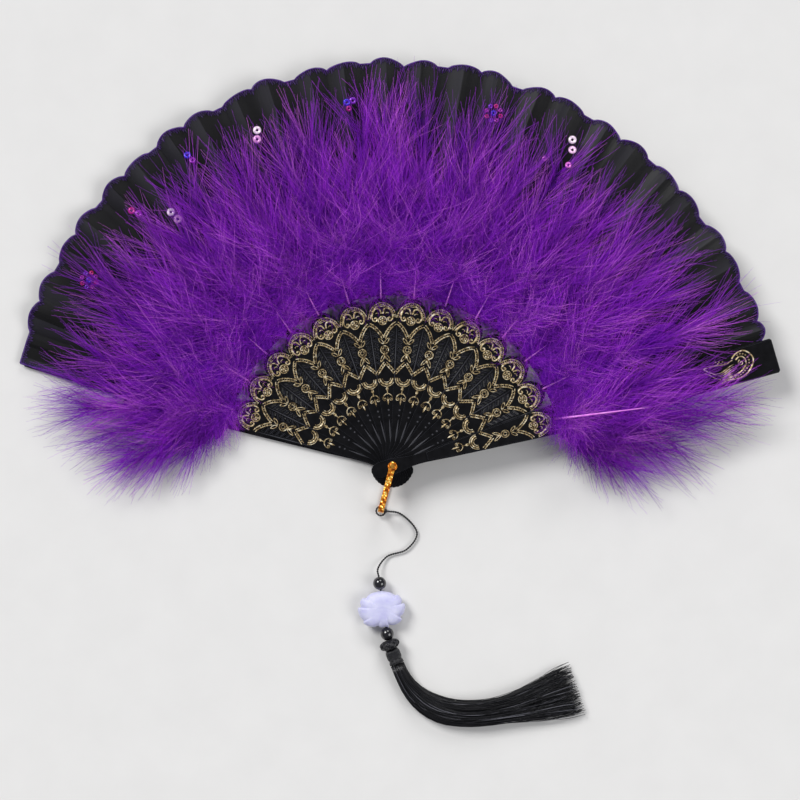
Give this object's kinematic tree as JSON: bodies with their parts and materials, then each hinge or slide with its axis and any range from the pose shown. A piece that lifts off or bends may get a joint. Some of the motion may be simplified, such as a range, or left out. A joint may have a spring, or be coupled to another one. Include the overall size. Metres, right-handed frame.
{
  "type": "folding feather fan",
  "caption": "Open folding hand fan: pierced black sticks on a rivet carry a pleated sheer leaf and dyed plumes, with a gilt bail, beaded cord and tassel.",
  "frame": {"origin": "on the pivot axis, at the rivet's rear face, which lies in one plane with the back guard's outer face", "axes": "+Z along the rivet towards the front guard, +X to the front guard's side of the open fan, +Y from the pivot to the middle of the leaf"},
  "size_m": [0.421, 0.3699, 0.028],
  "materials": {
    "stick_plastic": "gloss",
    "guard_plastic": "gloss",
    "organza": "matte",
    "feather": "matte",
    "gilt_metal": "polished",
    "rivet_steel": "satin",
    "cord": "satin",
    "bead": "gloss",
    "lotus_resin": "satin",
    "tassel_thread": "satin"
  },
  "bodies": {
    "back_guard": {"back_guard": "guard_plastic", "rivet": "rivet_steel", "rivet_cap": "rivet_steel", "leaf_end": "organza"},
    "stick_13": {"stick_13": "stick_plastic", "plume_13": "feather", "leaf_13": "organza"},
    "stick_12": {"stick_12": "stick_plastic", "plume_12": "feather", "leaf_12": "organza"},
    "stick_11": {"stick_11": "stick_plastic", "plume_11": "feather", "leaf_11": "organza"},
    "stick_10": {"stick_10": "stick_plastic", "plume_10": "feather", "leaf_10": "organza"},
    "stick_09": {"stick_09": "stick_plastic", "plume_09": "feather", "leaf_09": "organza"},
    "stick_08": {"stick_08": "stick_plastic", "plume_08": "feather", "leaf_08": "organza"},
    "stick_07": {"stick_07": "stick_plastic", "plume_07": "feather", "leaf_07": "organza"},
    "stick_06": {"stick_06": "stick_plastic", "plume_06": "feather", "leaf_06": "organza"},
    "stick_05": {"stick_05": "stick_plastic", "plume_05": "feather", "leaf_05": "organza"},
    "stick_04": {"stick_04": "stick_plastic", "plume_04": "feather", "leaf_04": "organza"},
    "stick_03": {"stick_03": "stick_plastic", "plume_03": "feather", "leaf_03": "organza"},
    "stick_02": {"stick_02": "stick_plastic", "plume_02": "feather", "leaf_02": "organza"},
    "stick_01": {"stick_01": "stick_plastic", "plume_01": "feather", "leaf_01": "organza"},
    "front_guard": {"front_guard": "guard_plastic", "plume_guard": "feather"},
    "bail": {"bail": "gilt_metal"},
    "tassel": {"cord_knot": "cord", "cord": "cord", "bead_upper": "bead", "lotus": "lotus_resin", "bead_lower": "bead", "tassel_knot": "tassel_thread", "tassel_head": "tassel_thread", "tassel_skirt": "tassel_thread"}
  },
  "joints": [
    {"name": "fold_13", "type": "hinge", "parent": "back_guard", "child": "stick_13", "pos_m": [0, 0, 0], "axis": [0, 0, 1], "range_deg": [0, 1.81], "deforming": ["leaf_end"]},
    {"name": "fold_12", "type": "hinge", "parent": "stick_13", "child": "stick_12", "pos_m": [0, 0, 0], "axis": [0, 0, 1], "range_deg": [0, 11.1], "deforming": ["leaf_13", "plume_13"]},
    {"name": "fold_11", "type": "hinge", "parent": "stick_12", "child": "stick_11", "pos_m": [0, 0, 0], "axis": [0, 0, 1], "range_deg": [0, 11.11], "deforming": ["leaf_12", "plume_12"]},
    {"name": "fold_10", "type": "hinge", "parent": "stick_11", "child": "stick_10", "pos_m": [0, 0, 0], "axis": [0, 0, 1], "range_deg": [0, 11.11], "deforming": ["leaf_11", "plume_11"]},
    {"name": "fold_09", "type": "hinge", "parent": "stick_10", "child": "stick_09", "pos_m": [0, 0, 0], "axis": [0, 0, 1], "range_deg": [0, 11.11], "deforming": ["leaf_10", "plume_10"]},
    {"name": "fold_08", "type": "hinge", "parent": "stick_09", "child": "stick_08", "pos_m": [0, 0, 0], "axis": [0, 0, 1], "range_deg": [0, 11.11], "deforming": ["leaf_09", "plume_09"]},
    {"name": "fold_07", "type": "hinge", "parent": "stick_08", "child": "stick_07", "pos_m": [0, 0, 0], "axis": [0, 0, 1], "range_deg": [0, 11.11], "deforming": ["leaf_08", "plume_08"]},
    {"name": "fold_06", "type": "hinge", "parent": "stick_07", "child": "stick_06", "pos_m": [0, 0, 0], "axis": [0, 0, 1], "range_deg": [0, 11.11], "deforming": ["leaf_07", "plume_07"]},
    {"name": "fold_05", "type": "hinge", "parent": "stick_06", "child": "stick_05", "pos_m": [0, 0, 0], "axis": [0, 0, 1], "range_deg": [0, 11.11], "deforming": ["leaf_06", "plume_06"]},
    {"name": "fold_04", "type": "hinge", "parent": "stick_05", "child": "stick_04", "pos_m": [0, 0, 0], "axis": [0, 0, 1], "range_deg": [0, 11.11], "deforming": ["leaf_05", "plume_05"]},
    {"name": "fold_03", "type": "hinge", "parent": "stick_04", "child": "stick_03", "pos_m": [0, 0, 0], "axis": [0, 0, 1], "range_deg": [0, 11.11], "deforming": ["leaf_04", "plume_04"]},
    {"name": "fold_02", "type": "hinge", "parent": "stick_03", "child": "stick_02", "pos_m": [0, 0, 0], "axis": [0, 0, 1], "range_deg": [0, 11.11], "deforming": ["leaf_03", "plume_03"]},
    {"name": "fold_01", "type": "hinge", "parent": "stick_02", "child": "stick_01", "pos_m": [0, 0, 0], "axis": [0, 0, 1], "range_deg": [0, 11.11], "deforming": ["leaf_02", "plume_02"]},
    {"name": "fold_front", "type": "hinge", "parent": "stick_01", "child": "front_guard", "pos_m": [0, 0, 0], "axis": [0, 0, 1], "range_deg": [0, 11.11], "deforming": ["leaf_01", "plume_01", "plume_guard"]},
    {"name": "bail_swing", "type": "hinge", "parent": "back_guard", "child": "bail", "pos_m": [0, 0, 0], "axis": [0, 0, 1], "range_deg": [-45, 45]},
    {"name": "tassel_swing", "type": "hinge", "parent": "bail", "child": "tassel", "pos_m": [-0.00657, -0.02524, 0.0026], "axis": [0, 0, 1], "range_deg": [-20, 20]}
  ],
  "couplings": [
    {"joint": "fold_13", "follows": "fold_12", "ratio": 0.16216},
    {"joint": "fold_11", "follows": "fold_12", "ratio": 1},
    {"joint": "fold_10", "follows": "fold_12", "ratio": 1},
    {"joint": "fold_09", "follows": "fold_12", "ratio": 1},
    {"joint": "fold_08", "follows": "fold_12", "ratio": 1},
    {"joint": "fold_07", "follows": "fold_12", "ratio": 1},
    {"joint": "fold_06", "follows": "fold_12", "ratio": 1},
    {"joint": "fold_05", "follows": "fold_12", "ratio": 1},
    {"joint": "fold_04", "follows": "fold_12", "ratio": 1},
    {"joint": "fold_03", "follows": "fold_12", "ratio": 1},
    {"joint": "fold_02", "follows": "fold_12", "ratio": 1},
    {"joint": "fold_01", "follows": "fold_12", "ratio": 1},
    {"joint": "fold_front", "follows": "fold_12", "ratio": 1}
  ]
}
